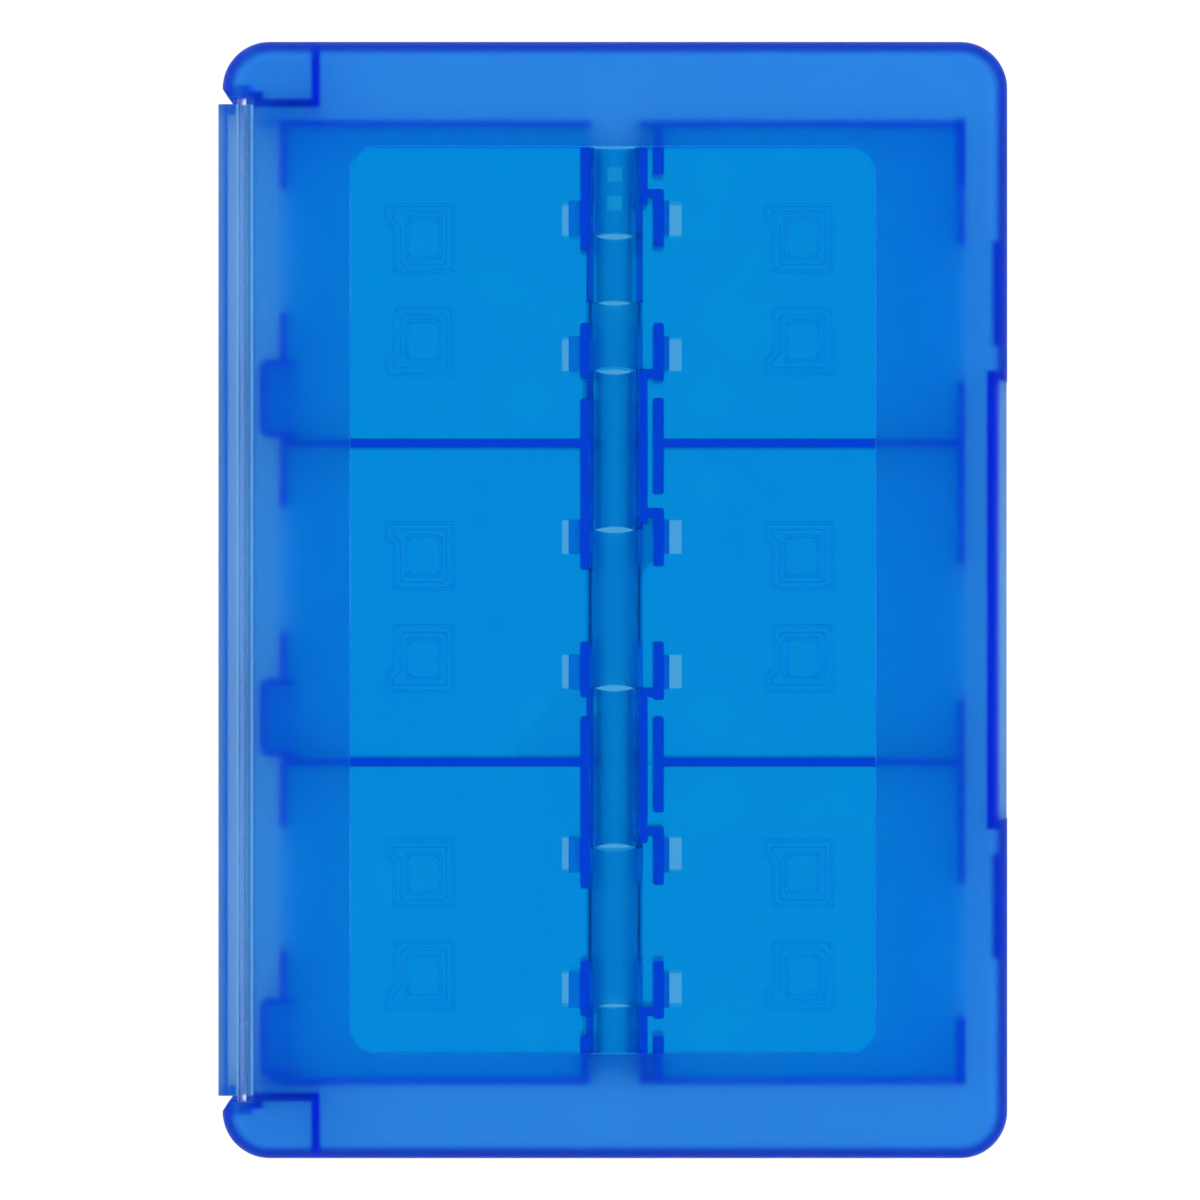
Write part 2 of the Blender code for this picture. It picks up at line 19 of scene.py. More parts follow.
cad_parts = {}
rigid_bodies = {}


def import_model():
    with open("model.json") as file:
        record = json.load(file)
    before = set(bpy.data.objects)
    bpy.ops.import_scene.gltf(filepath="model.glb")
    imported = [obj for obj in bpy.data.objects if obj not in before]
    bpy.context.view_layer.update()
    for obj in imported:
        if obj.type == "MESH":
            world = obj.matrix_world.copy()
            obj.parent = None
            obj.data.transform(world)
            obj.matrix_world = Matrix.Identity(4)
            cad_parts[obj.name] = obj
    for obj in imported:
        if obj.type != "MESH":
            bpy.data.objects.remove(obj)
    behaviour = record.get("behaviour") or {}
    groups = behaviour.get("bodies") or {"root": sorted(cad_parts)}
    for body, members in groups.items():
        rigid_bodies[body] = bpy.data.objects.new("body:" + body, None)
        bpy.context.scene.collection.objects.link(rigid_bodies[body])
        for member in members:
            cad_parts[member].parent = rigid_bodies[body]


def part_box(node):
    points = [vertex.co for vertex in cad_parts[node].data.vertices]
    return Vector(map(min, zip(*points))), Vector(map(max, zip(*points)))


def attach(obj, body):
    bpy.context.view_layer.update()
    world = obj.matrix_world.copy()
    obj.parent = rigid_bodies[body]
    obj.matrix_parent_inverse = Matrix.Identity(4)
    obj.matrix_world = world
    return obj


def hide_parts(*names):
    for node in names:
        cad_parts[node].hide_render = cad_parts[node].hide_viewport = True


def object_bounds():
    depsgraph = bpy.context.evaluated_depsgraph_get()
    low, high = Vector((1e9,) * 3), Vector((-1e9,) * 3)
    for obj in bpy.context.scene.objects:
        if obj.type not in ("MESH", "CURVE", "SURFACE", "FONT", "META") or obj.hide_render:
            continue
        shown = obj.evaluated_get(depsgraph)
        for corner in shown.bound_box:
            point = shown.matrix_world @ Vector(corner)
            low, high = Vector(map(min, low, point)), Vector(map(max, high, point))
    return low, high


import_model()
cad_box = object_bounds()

print("case in mm:", [round((high - low) * 1000, 1) for low, high in zip(*cad_box)])

# %% [markdown]
# ## Places taken from the frame
#
# The main places could be typed in again, but two copies of one size soon disagree. They are read from the
# boxes of the model's own pieces instead, so the fine pieces land exactly where the plain ones are.

# %% Places from the frame
case_low, case_high = cad_box
cover_low, cover_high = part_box("rear_cover")
front_low, front_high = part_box("front_cover")
tray_low, tray_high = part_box("front_tray")
spine_low, spine_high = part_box("spine")
rod_low, rod_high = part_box("rear_hinge_rod")

case_left = spine_low.x
case_right = cover_high.x
case_half = cover_high.y
case_depth = case_high.z
cover_height = case_depth - front_low.z
hinge_x = (rod_low.x + rod_high.x) / 2
hinge_height = (rod_low.z + rod_high.z) / 2
rod_radius = (rod_high.z - rod_low.z) / 2
rod_half = rod_high.y
spine_half = spine_high.y
barrel_radius = hinge_height - spine_low.z

peg_length = 0.0019
tray_half = tray_high.y - peg_length
tray_right = tray_high.x
tray_half_thickness = (tray_high.z - tray_low.z) / 2
front_tray_z = (tray_high.z + tray_low.z) / 2
rear_tray_z = case_depth - front_tray_z
print(f"hinge line at x {hinge_x * 1000:.2f} mm")
print(f"trays at z {rear_tray_z * 1000:.1f} mm and {front_tray_z * 1000:.1f} mm")

# %% [markdown]
# ## Shapes to build with
#
# Injection moulded plastic is plates, walls and pins, so a few makers are enough: a block with its edges
# rounded over, a round bar, and a flat outline pushed out to a thickness. A wall could be left with sharp
# edges, but clear plastic gives a sharp edge away at once, because a real edge always has a small radius
# that bends the light into a dark or bright line.

# %% Blocks and round bars
def mesh_object(shape, name):
    """Turns a finished bmesh into an object."""
    mesh = bpy.data.meshes.new(name)
    shape.to_mesh(mesh)
    shape.free()
    return bpy.data.objects.new(name, mesh)


def block(name, x0, x1, y0, y1, z0, z1, edge=0, steps=2):
    """A block between two corners, its edges rounded over by edge."""
    shape = bmesh.new()
    bmesh.ops.create_cube(shape, size=1)
    bmesh.ops.scale(shape, vec=(abs(x1 - x0), abs(y1 - y0), abs(z1 - z0)), verts=shape.verts)
    bmesh.ops.translate(shape, vec=((x0 + x1) / 2, (y0 + y1) / 2, (z0 + z1) / 2), verts=shape.verts)
    if edge:
        bmesh.ops.bevel(shape, geom=shape.edges[:], offset=edge, segments=steps, profile=0.5, affect="EDGES")
    return mesh_object(shape, name)


def bar(name, x, z, radius, y0, y1, sides=32, tip=0):
    """A round bar parallel to the hinge line, its ends rounded over by tip."""
    shape = bmesh.new()
    bmesh.ops.create_cone(
        shape, cap_ends=True, segments=sides, radius1=radius, radius2=radius, depth=abs(y1 - y0))
    if tip:
        ends = [edge for edge in shape.edges if any(len(face.verts) > 4 for face in edge.link_faces)]
        bmesh.ops.bevel(shape, geom=ends, offset=tip, segments=3, profile=0.5, affect="EDGES")
    bmesh.ops.transform(shape, matrix=Matrix.Rotation(math.radians(90), 4, "X"), verts=shape.verts)
    bmesh.ops.translate(shape, vec=(x, (y0 + y1) / 2, z), verts=shape.verts)
    return mesh_object(shape, name)


# %% Outlines
def arc(x, y, radius, start, end, steps):
    """Points from one angle to another, in degrees, both ends among them."""
    return [
        (x + radius * math.cos(math.radians(start + (end - start) * step / steps)),
         y + radius * math.sin(math.radians(start + (end - start) * step / steps)))
        for step in range(steps + 1)
    ]


def rounded_rectangle(x0, x1, y0, y1, radius, steps=8):
    return (
        arc(x1 - radius, y0 + radius, radius, -90, 0, steps)
        + arc(x1 - radius, y1 - radius, radius, 0, 90, steps)
        + arc(x0 + radius, y1 - radius, radius, 90, 180, steps)
        + arc(x0 + radius, y0 + radius, radius, 180, 270, steps)
    )


def lens(x, y, width, length, steps=12):
    """A pointed oval between two shallow arcs."""
    half, sag = width / 2, length / 2
    radius = (half * half + sag * sag) / (2 * sag)
    sweep = math.degrees(math.asin(half / radius))
    return (
        arc(x, y + sag - radius, radius, 90 - sweep, 90 + sweep, steps)[:-1]
        + arc(x, y - sag + radius, radius, 270 - sweep, 270 + sweep, steps)[:-1]
    )


# %% [markdown]
# A curve object fills a flat outline by itself, and an outline inside another becomes a hole. That saves
# building caps by hand, so plates, frames and prisms all start as 2D curves and are turned into meshes.

# %% Plates and prisms
weld = 0.000002


def plate(name, outlines, z0, z1):
    """One or more flat outlines, the inner ones holes, made solid from z0 to z1."""
    curve = bpy.data.curves.new(name, "CURVE")
    curve.dimensions, curve.fill_mode = "2D", "BOTH"
    curve.extrude = abs(z1 - z0) / 2
    for outline in outlines:
        spline = curve.splines.new("POLY")
        spline.points.add(len(outline) - 1)
        for point, (x, y) in zip(spline.points, outline):
            point.co = (x, y, 0, 1)
        spline.use_cyclic_u = True
    flat = bpy.data.objects.new(name, curve)
    bpy.context.scene.collection.objects.link(flat)
    bpy.context.view_layer.update()
    mesh = bpy.data.meshes.new_from_object(flat.evaluated_get(bpy.context.evaluated_depsgraph_get()))
    bpy.data.objects.remove(flat, do_unlink=True)
    shape = bmesh.new()
    shape.from_mesh(mesh)
    bmesh.ops.remove_doubles(shape, verts=shape.verts, dist=weld)
    bmesh.ops.recalc_face_normals(shape, faces=shape.faces)
    bmesh.ops.translate(shape, vec=(0, 0, (z0 + z1) / 2), verts=shape.verts)
    return mesh_object(shape, name)


def prism(name, outline_xz, y0, y1):
    """An outline in X and Z, pushed out along the hinge line."""
    obj = plate(name, [outline_xz], -max(y0, y1), -min(y0, y1))
    obj.data.transform(Matrix.Rotation(math.radians(90), 4, "X"))
    return obj


def rounded_over(obj, face_z, edge, steps=2):
    """The same plate, with the edges round its face at face_z rounded over by edge."""
    shape = bmesh.new()
    shape.from_mesh(obj.data)
    edges = [
        side for side in shape.edges
        if all(abs(vert.co.z - face_z) < weld for vert in side.verts)
        and abs(side.link_faces[0].normal.z - side.link_faces[1].normal.z) > 0.5
    ]
    bmesh.ops.bevel(shape, geom=edges, offset=edge, segments=steps, profile=0.5, affect="EDGES")
    shape.to_mesh(obj.data)
    shape.free()
    return obj


# %% [markdown]
# A moulding is one body, however many walls it has. The walls could be left as separate meshes that overlap,
# and paint would hide it, but light inside clear plastic would meet every hidden face. So each piece is
# joined by Boolean modifiers into one closed skin, and its openings are cut the same way.

# %% Join and cut
def moulded(body, *stages):
    """Joins and cuts body stage by stage, and returns one closed mesh object with the body's name."""
    scene = bpy.context.scene.collection
    scene.objects.link(body)
    groups = []
    for number, (operation, operands) in enumerate(stages):
        group = bpy.data.collections.new(f"{body.name}_{number}")
        scene.children.link(group)
        for operand in operands:
            group.objects.link(operand)
        modifier = body.modifiers.new(str(number), "BOOLEAN")
        modifier.operation, modifier.solver = operation, "EXACT"
        modifier.operand_type, modifier.collection = "COLLECTION", group
        groups.append(group)
    bpy.context.view_layer.update()
    mesh = bpy.data.meshes.new_from_object(body.evaluated_get(bpy.context.evaluated_depsgraph_get()))
    for group in groups:
        for operand in list(group.objects):
            bpy.data.objects.remove(operand, do_unlink=True)
        bpy.data.collections.remove(group)
    body.modifiers.clear()
    shape = bmesh.new()
    shape.from_mesh(mesh)
    bmesh.ops.remove_doubles(shape, verts=shape.verts, dist=weld)
    bmesh.ops.dissolve_degenerate(shape, edges=shape.edges, dist=weld)
    shape.to_mesh(body.data)
    open_edges = sum(1 for edge in shape.edges if len(edge.link_faces) != 2)
    print(f"{body.name}: {len(shape.faces)} faces, {open_edges} open edges")
    shape.free()
    return body


def shade(obj, sharp_from=32):
    obj.data.shade_smooth()
    obj.data.set_sharp_from_angle(angle=math.radians(sharp_from))
    weighted = obj.modifiers.new("Weighted normals", "WEIGHTED_NORMAL")
    weighted.keep_sharp = True


# %% [markdown]
# ## The blue plastics
#
# Clear coloured plastic takes its colour from depth: light loses red quickly, green slowly and blue hardly
# at all, so a thin window is sky blue, two layers are azure, and a wall seen on edge is deep cobalt. A blue
# surface colour would make every thickness alike. The colour is a Volume Absorption inside a clear, glossy
# skin instead. The two mouldings are slightly different resins, and the figures below say what a millimetre
# of each takes from red, green and blue.

# %% Shader helpers
ior = 1.49
per_mm = 1000


def add_node(tree, kind, place, **settings):
    node = tree.nodes.new(kind)
    node.location = place
    for name, value in settings.items():
        setattr(node, name, value)
    return node


def grain(tree, size_mm, detail, place):
    """A noise that follows the piece, with a grain of about size_mm."""
    where = add_node(tree, "ShaderNodeTexCoord", (place[0] - 400, place[1]))
    noise = add_node(tree, "ShaderNodeTexNoise", place)
    noise.inputs["Scale"].default_value = per_mm / size_mm
    noise.inputs["Detail"].default_value = detail
    tree.links.new(where.outputs["Object"], noise.inputs["Vector"])
    return noise


def spread(tree, source, low, high, place, whole=(0.3, 0.7)):
    """Spreads a value over the range from low to high."""
    ranged = add_node(tree, "ShaderNodeMapRange", place)
    ranged.inputs["From Min"].default_value, ranged.inputs["From Max"].default_value = whole
    ranged.inputs["To Min"].default_value = low
    ranged.inputs["To Max"].default_value = high
    tree.links.new(source.outputs[0], ranged.inputs["Value"])
    return ranged


def blend(tree, share, low, high, place):
    """A value that goes from low to high as share goes from 0 to 1."""
    mixed = add_node(tree, "ShaderNodeMix", place, data_type="FLOAT")
    for number, end in ((2, low), (3, high)):
        if isinstance(end, (int, float)):
            mixed.inputs[number].default_value = end
        else:
            tree.links.new(end.outputs[0], mixed.inputs[number])
    tree.links.new(share.outputs["Fac"], mixed.inputs[0])
    return mixed


# %% [markdown]
# The mould is polished in some places and textured in others. Both finishes belong to one skin, so one
# material does both: a value called frost is stored on each face, 1 where the mould was textured and 0
# where it was polished, and the shader's roughness and grain follow it. Two materials on one closed skin
# would go wrong, because light that enters through one and leaves through the other would still count as
# being inside the plastic.
#
# A real moulding is a little hazy just under its skin. Three faint tints stand for that: film on the
# polished faces, haze on the frosted ones, and gloss on what the skin mirrors.

# %% Blue plastic
def blotched(tree, source, colour, place):
    """A colour that varies a little with a noise, from slightly deeper to the colour itself."""
    deeper = [value * share for value, share in zip(colour, (0.95, 0.975, 1))]
    ramp = add_node(tree, "ShaderNodeValToRGB", place)
    first, last = ramp.color_ramp.elements
    first.position, last.position = 0.35, 0.65
    first.color, last.color = (*deeper, 1), (*colour, 1)
    tree.links.new(source.outputs[0], ramp.inputs["Fac"])
    return ramp


def blue_plastic(name, taken_per_mm, polished, frosted, grain_mm, relief=(0.02, 0.30), film=(1, 1, 1),
                 haze=(1, 1, 1), gloss=(1, 1, 1)):
    """A clear skin over a body that takes some of each colour in every millimetre."""
    material = bpy.data.materials.new(name)
    material.use_nodes = True
    tree = material.node_tree
    tree.nodes.clear()
    out = add_node(tree, "ShaderNodeOutputMaterial", (900, 0))
    shader = add_node(tree, "ShaderNodeBsdfPrincipled", (500, 0))
    shader.inputs["Transmission Weight"].default_value = 1
    shader.inputs["IOR"].default_value = ior
    shader.inputs["Specular Tint"].default_value = (*gloss, 1)
    frost = add_node(tree, "ShaderNodeAttribute", (-900, 0), attribute_name="frost")
    fine = grain(tree, grain_mm, 4, (-900, 300))
    broad = grain(tree, grain_mm * 40, 2, (-900, -300))
    smooth_skin = spread(tree, broad, *polished, (-600, -200))
    rough_skin = spread(tree, broad, *frosted, (-600, -450))
    tree.links.new(blend(tree, frost, smooth_skin, rough_skin, (-300, -200)).outputs[0],
                   shader.inputs["Roughness"])
    bump = add_node(tree, "ShaderNodeBump", (100, 300))
    bump.inputs["Distance"].default_value = 0.00002
    tree.links.new(blend(tree, frost, *relief, (-300, 300)).outputs[0], bump.inputs["Strength"])
    tree.links.new(fine.outputs[0], bump.inputs["Height"])
    tree.links.new(bump.outputs["Normal"], shader.inputs["Normal"])
    tint = add_node(tree, "ShaderNodeMix", (0, 600), data_type="RGBA")
    tree.links.new(frost.outputs["Fac"], tint.inputs["Factor"])
    tree.links.new(blotched(tree, broad, film, (-400, 800)).outputs["Color"], tint.inputs[6])
    tree.links.new(blotched(tree, broad, haze, (-400, 550)).outputs["Color"], tint.inputs[7])
    tree.links.new(tint.outputs[2], shader.inputs["Base Color"])
    tree.links.new(shader.outputs["BSDF"], out.inputs["Surface"])
    most = max(taken_per_mm)
    body = add_node(tree, "ShaderNodeVolumeAbsorption", (500, -500))
    body.inputs["Color"].default_value = (*[1 - taken / most for taken in taken_per_mm], 1)
    body.inputs["Density"].default_value = most * per_mm
    tree.links.new(body.outputs["Volume"], out.inputs["Volume"])
    return material


cover_plastic = blue_plastic(
    "cover_plastic", (0.88, 0.31, 0.004), (0.02, 0.05), (0.66, 0.72), 0.25, film=(0.6, 0.84, 0.88),
    gloss=(0.05, 0.7, 1.0))
tray_plastic = blue_plastic(
    "tray_plastic", (2.6, 0.155, 0.006), (0.07, 0.11), (0.24, 0.29), 0.9, haze=(0.7, 0.92, 1.0),
    gloss=(0.4, 0.8, 1.0))
spine_plastic = blue_plastic(
    "spine_plastic", (0.30, 0.085, 0.002), (0.40, 0.46), (0.3, 0.3), 0.5, film=(0.7, 0.81, 1.0),
    gloss=(0.5, 0.8, 1.0))
rod_plastic = blue_plastic("rod_plastic", (0.10, 0.05, 0.005), (0.24, 0.30), (0.3, 0.3), 0.3)
print("finishes:", [m.name for m in (cover_plastic, tray_plastic, spine_plastic, rod_plastic)])

# %% [markdown]
# ## The covers
#
# Each cover is a shallow box, open towards the spine, with a hollow ear at both hinge corners. The outer
# border is frosted by the mould's texture, and a polished window is sunk into it. On the side away from the
# hinge the wall steps in to make room for a thumb.
#
# The two covers mirror each other, so one set of functions makes both: a level is a height over the
# cover's own outer face, and turns into a place along Z for either cover.

# %% Cover sizes
panel = 0.0016
wall = 0.0014
corner = 0.0054
rim = 0.0022
inner_rim = 0.0010
ear_setback = 0.0005
seat_gap = 0.0003
overrun = 0.0010
pin_clearance = 0.00015
hinge_gap = 0.00006
panel_left = hinge_x + barrel_radius + hinge_gap
ear_face = spine_half + 0.0007
ear_inner = tray_half + 0.0010
ear_wall = 0.0008
ear_inner_wall = 0.0011
ear_box = 0.0077
boss_depth = 0.0015
slant_wide = 0.0007
slant_long = 0.0011
thumb_half = 0.0251
thumb_depth = 0.0011
thumb_wall = 0.0013
peg_radius = 0.0010
peg_x = hinge_x + 0.0030
edge_soft = 0.0002
print(f"panel starts {1000 * (panel_left - case_left):.2f} mm from the outside of the spine")


# %% Shell of a cover
def rounded_shell(name, level):
    """The outside of a cover, with the rim of its outer face rounded over."""
    outline = rounded_rectangle(case_left + ear_setback, case_right, -case_half, case_half, corner, 20)
    return rounded_over(plate(name, [outline], *sorted((level(0), level(cover_height)))), level(0), rim, 6)


def cavity(level):
    """The hollow of a cover, its corners parallel to the outside."""
    outline = rounded_rectangle(
        case_left + ear_setback + wall, case_right - wall, -case_half + wall, case_half - wall,
        corner - wall, 16)
    hollow = plate("cavity", [outline], *sorted((level(panel), level(cover_height + overrun))))
    return rounded_over(hollow, level(panel), inner_rim, 4)


# %% [markdown]
# Inside each hinge corner a stepped wall closes the ear into a little box. It takes the end of the hinge
# rod in a boss and the peg of the tray in a hole. The steps are drawn as separate blocks that run into each
# other, which keeps each one easy to place.

# %% Walls inside a cover
def ear_walls(level, side):
    top, foot = level(cover_height), level(panel / 2)
    inner = side * ear_inner
    boss = sorted((side * ear_face, side * (ear_face + boss_depth)))
    return [
        block("ear_inner", panel_left, panel_left + ear_box, inner, inner + side * ear_inner_wall, foot, top),
        block("ear_side", panel_left + ear_box - ear_inner_wall, panel_left + ear_box,
              inner + side * weld, side * (case_half - wall / 2), foot, top),
        block("ear_jog", panel_left, panel_left + ear_inner_wall,
              inner + side * ear_inner_wall / 2, side * (ear_face + ear_wall), foot, top),
        block("ear_face", case_left + ear_setback + wall / 2, panel_left + ear_inner_wall / 2,
              side * ear_face, side * (ear_face + ear_wall - weld), foot, top),
        bar("boss", hinge_x, level(hinge_height), barrel_radius, *boss),
        block("boss_foot", hinge_x - barrel_radius, hinge_x + barrel_radius, *boss,
              foot, level(hinge_height)),
    ]


def thumb_block(level):
    end = thumb_half + thumb_wall
    return block("thumb_block", case_right - thumb_depth - thumb_wall, case_right - wall / 2, -end, end,
                 level(panel / 2), level(cover_height))


def tray_rests(level):
    rest_width, rest_length = 0.0014, 0.0080
    top = level(case_depth - front_tray_z - tray_half_thickness - seat_gap)
    return [
        block("rest", tray_right - rest_width, tray_right, side * (tray_half - rest_length), side * tray_half,
              level(panel / 2), top)
        for side in (-1, 1)
    ]


# %% [markdown]
# The window is sunk 0.7 mm into the outer face, with softly rounded corners. The photograph shows its
# border as a thin dark line, because the little step turns the light aside, and a second, fainter line round
# it. So the window of the rear cover is made slightly larger than that of the front cover.

# %% Openings in a cover
def window(level):
    side_margin, end_margin, depth, radius, fillet = 0.0152, 0.0121, 0.0007, 0.0030, 0.00015
    rear_wider, rear_longer = 0.0007, 0.0011
    if level(0) < level(depth):
        side_margin, end_margin = side_margin - rear_wider, end_margin - rear_longer
    outline = rounded_rectangle(
        case_left + side_margin, case_right - side_margin, -case_half + end_margin, case_half - end_margin,
        radius, 12)
    sunk = plate("window", [outline], *sorted((level(-overrun), level(depth))))
    return rounded_over(sunk, level(depth), fillet, 2)


def spine_place(level):
    return block("spine_place", case_left - overrun, panel_left, -ear_face, ear_face,
                 level(-overrun), level(cover_height + overrun))


def thumb_recess(level):
    return block("thumb_recess", case_right - thumb_depth, case_right + overrun, -thumb_half, thumb_half,
                 level(panel), level(cover_height + overrun))


def pivot_holes(level, side):
    """The blind hole for the rod, the hole for the tray's peg, and the slope that clears the other ear."""
    slope = 0.0006
    rod_hole = sorted((side * (ear_face - overrun), side * (rod_half + pin_clearance)))
    peg_hole = sorted((side * (ear_inner - overrun), side * (ear_inner + ear_inner_wall + overrun / 2)))
    trim = [(hinge_x, level(cover_height - slope / 4)), (hinge_x, level(cover_height + overrun)),
            (case_left - overrun, level(cover_height + overrun)),
            (case_left - overrun, level(cover_height - slope))]
    edge = case_left + ear_setback
    slant = [(edge - slant_wide, ear_face + 2 * slant_long), (edge - slant_wide, ear_face - slant_long),
             (edge + 2 * slant_wide, ear_face - slant_long)]
    slant = [(x, side * y) for x, y in slant][::side]
    return [
        plate("slant", [slant], *sorted((level(-overrun), level(cover_height + overrun)))),
        bar("rod_hole", hinge_x, level(hinge_height), rod_radius + pin_clearance, *rod_hole),
        bar("peg_hole", peg_x, level(rear_tray_z), peg_radius + pin_clearance, *peg_hole),
        prism("trim", trim, side * (ear_face - overrun), side * (case_half + overrun)),
    ]


# %% Tongues and rebates
def tongue_blocks(rebate):
    """Two tongues that locate the covers, or the slightly larger rebates that take them."""
    length, middle, rise, outside, thickness = 0.0123, 0.0352, 0.0022, 0.0008, 0.0010
    spare = seat_gap if rebate else 0
    low = case_depth / 2 - overrun if rebate else panel / 2
    inner = case_right - outside - thickness - (overrun if rebate else 0)
    return [
        block("tongue", inner, case_right - outside + spare,
              side * middle - length / 2 - spare, side * middle + length / 2 + spare,
              low, cover_height + rise + spare, edge=0 if rebate else edge_soft)
        for side in (-1, 1)
    ]


def tongue_backs():
    """The front cover's wall is thicker above each rebate."""
    length, middle, thick = 0.0121, 0.0352, 0.0018
    return [
        block("back", case_right - thick, case_right - wall / 2, side * middle - length / 2,
              side * middle + length / 2, case_depth - cover_height + edge_soft, case_depth - panel / 2)
        for side in (-1, 1)
    ]


# %% [markdown]
# Each face of a cover is marked as frosted or polished by where it lies: the outer faces of the border and
# of the walls are frosted, and the window and everything inside are polished. The narrow faces beside the
# spine are frosted too, or they would mirror the white table as a bright slit.

# %% Build a cover
def mark_frost(obj, level):
    """Stores frost on each face: 1 on the outside of the border and walls, 0 elsewhere."""
    outward = 1 if level(1) < level(0) else -1
    shallow = 0.0005
    values = []
    for face in obj.data.polygons:
        at = face.center
        on_rim = abs(at.z - level(0)) < rim * 1.05 and face.normal.z * outward > 0.05
        in_window = (
            abs(at.z - level(0)) > shallow and abs(at.x) < case_right - 2 * rim
            and abs(at.y) < case_half - 2 * rim)
        beyond_x, beyond_y = abs(at.x) - (case_right - corner), abs(at.y) - (case_half - corner)
        in_corner = beyond_x > 0 and beyond_y > 0 and math.hypot(beyond_x, beyond_y) > corner - wall / 2
        on_wall = abs(face.normal.z) < 0.6 and (
            at.x > case_right - wall / 2 or abs(at.y) > case_half - wall / 2 or in_corner)
        by_spine = abs(abs(at.y) - ear_face) < edge_soft or abs(at.x - panel_left) < edge_soft
        values.append(1.0 if (on_rim and not in_window) or on_wall or by_spine else 0.0)
    obj.data.attributes.new("frost", "FLOAT", "FACE").data.foreach_set("value", values)
    obj.data.materials.clear()
    obj.data.materials.append(cover_plastic)


def build_cover(name, level, *extra):
    walls = [part for side in (-1, 1) for part in ear_walls(level, side)] + tray_rests(level)
    cuts = [part for side in (-1, 1) for part in pivot_holes(level, side)]
    cuts += [window(level), spine_place(level), thumb_recess(level)]
    obj = moulded(
        rounded_shell(name, level), ("DIFFERENCE", [cavity(level)]), ("UNION", walls + [thumb_block(level)]),
        ("DIFFERENCE", cuts), *extra)
    mark_frost(obj, level)
    shade(obj)
    return obj


rear_cover_skin = build_cover("rear_cover_skin", lambda height: height, ("UNION", tongue_blocks(False)))
front_cover_skin = build_cover(
    "front_cover_skin", lambda height: case_depth - height, ("UNION", tongue_backs()),
    ("DIFFERENCE", tongue_blocks(True)))

# %% [markdown]
# ## The spine and its rods
#
# The spine is a thin channel. Along each edge it has a barrel that is grooved open on the outside, so the
# rod in it shows as the palest stripe down the left of the photograph. A bent strip with solid edges would
# read as one dark bar, so the groove is worth the extra cut.

# %% Spine
def build_spine():
    web, lip, corner_out, end_plate = 0.0011, 0.0009, 0.0010, 0.0012
    groove_left, groove_right = hinge_x - 0.00036, hinge_x + 0.00070
    top, foot = case_depth - hinge_height + barrel_radius, hinge_height - barrel_radius
    nearly = 5 * weld
    outline = (
        arc(case_left + corner_out, foot + corner_out, corner_out, 270, 180, 10)
        + arc(case_left + corner_out, top - corner_out, corner_out, 180, 90, 10)
        + [(groove_left, top), (groove_left, top - lip), (case_left + web, top - lip)]
        + [(case_left + web, foot + lip), (groove_left, foot + lip), (groove_left, foot)]
    )
    added, cut = [], []
    end = spine_half + overrun
    for height, outward in ((hinge_height, -1), (case_depth - hinge_height, 1)):
        added.append(bar("barrel", hinge_x, height, barrel_radius, -spine_half, spine_half, 48))
        cut.append(bar("bore", hinge_x, height, rod_radius + pin_clearance, -end, end, 32))
        cut.append(block("groove", groove_left, groove_right, -end, end,
                         height, height + outward * (barrel_radius + overrun)))
        cut.append(block("flank", hinge_x - barrel_radius - pin_clearance, hinge_x - rod_radius / 2,
                         nearly + end_plate - spine_half, spine_half - end_plate - nearly,
                         height + outward * (barrel_radius - lip - nearly),
                         height - outward * (barrel_radius + overrun)))
    for side in (-1, 1):
        added.append(block("end_plate", case_left + web / 2, hinge_x - rod_radius,
                           side * (spine_half - end_plate), side * spine_half,
                           hinge_height, case_depth - hinge_height))
    channel = prism("spine_channel", outline, -spine_half, spine_half)
    obj = moulded(channel, ("UNION", added), ("DIFFERENCE", cut))
    obj.data.materials.clear()
    obj.data.materials.append(spine_plastic)
    shade(obj)
    return obj


def build_rod(name, height):
    obj = bar(name, hinge_x, height, rod_radius, -rod_half, rod_half, 24, tip=rod_radius / 4)
    bpy.context.scene.collection.objects.link(obj)
    obj.data.materials.append(rod_plastic)
    shade(obj)
    return obj


spine_channel = build_spine()
rear_rod_skin = build_rod("rear_rod_skin", hinge_height)
front_rod_skin = build_rod("front_rod_skin", case_depth - hinge_height)

# %% [markdown]
# ## The trays
#
# A tray is one plate with walls on both faces: three rows of two pockets, a split tube for a stylus down
# the middle, and small sprung tabs that hold each card. Where a tab's lip hangs over, the mould needs a
# hole through the floor, and those holes show as pale squares.
#
# The places are worked out from the pocket size, as the moulder's drawing would give them.

# %% Tray sizes
rows = 3
pocket_wide = 0.0336
pocket_long = 0.0356
tray_wall = 0.0011
tray_floor = 0.0010
bar_wide = 0.0013
bore = 0.0025
tube_wall = 0.0008
beside = 0.0002
tab_gap = 0.0006
end_play = 0.0003
bridge = 0.0011
tray_left = peg_x + 0.0012
pitch = pocket_long + tray_wall
left_bar = tray_left + tray_wall + pocket_wide
tube_x = left_bar + bar_wide + beside + bore
flank = tube_x + bore + beside
tab_x = flank + tray_wall + tab_gap
right_pocket = tab_x + bar_wide
tube_top = tray_half - 0.0031
row_middles = [(rows - 1 - 2 * row) / 2 * pitch for row in range(rows)]
low, high = -tray_half_thickness, tray_half_thickness
print(f"stylus tube at x {tube_x * 1000:.2f} mm, rows every {pitch * 1000:.1f} mm")


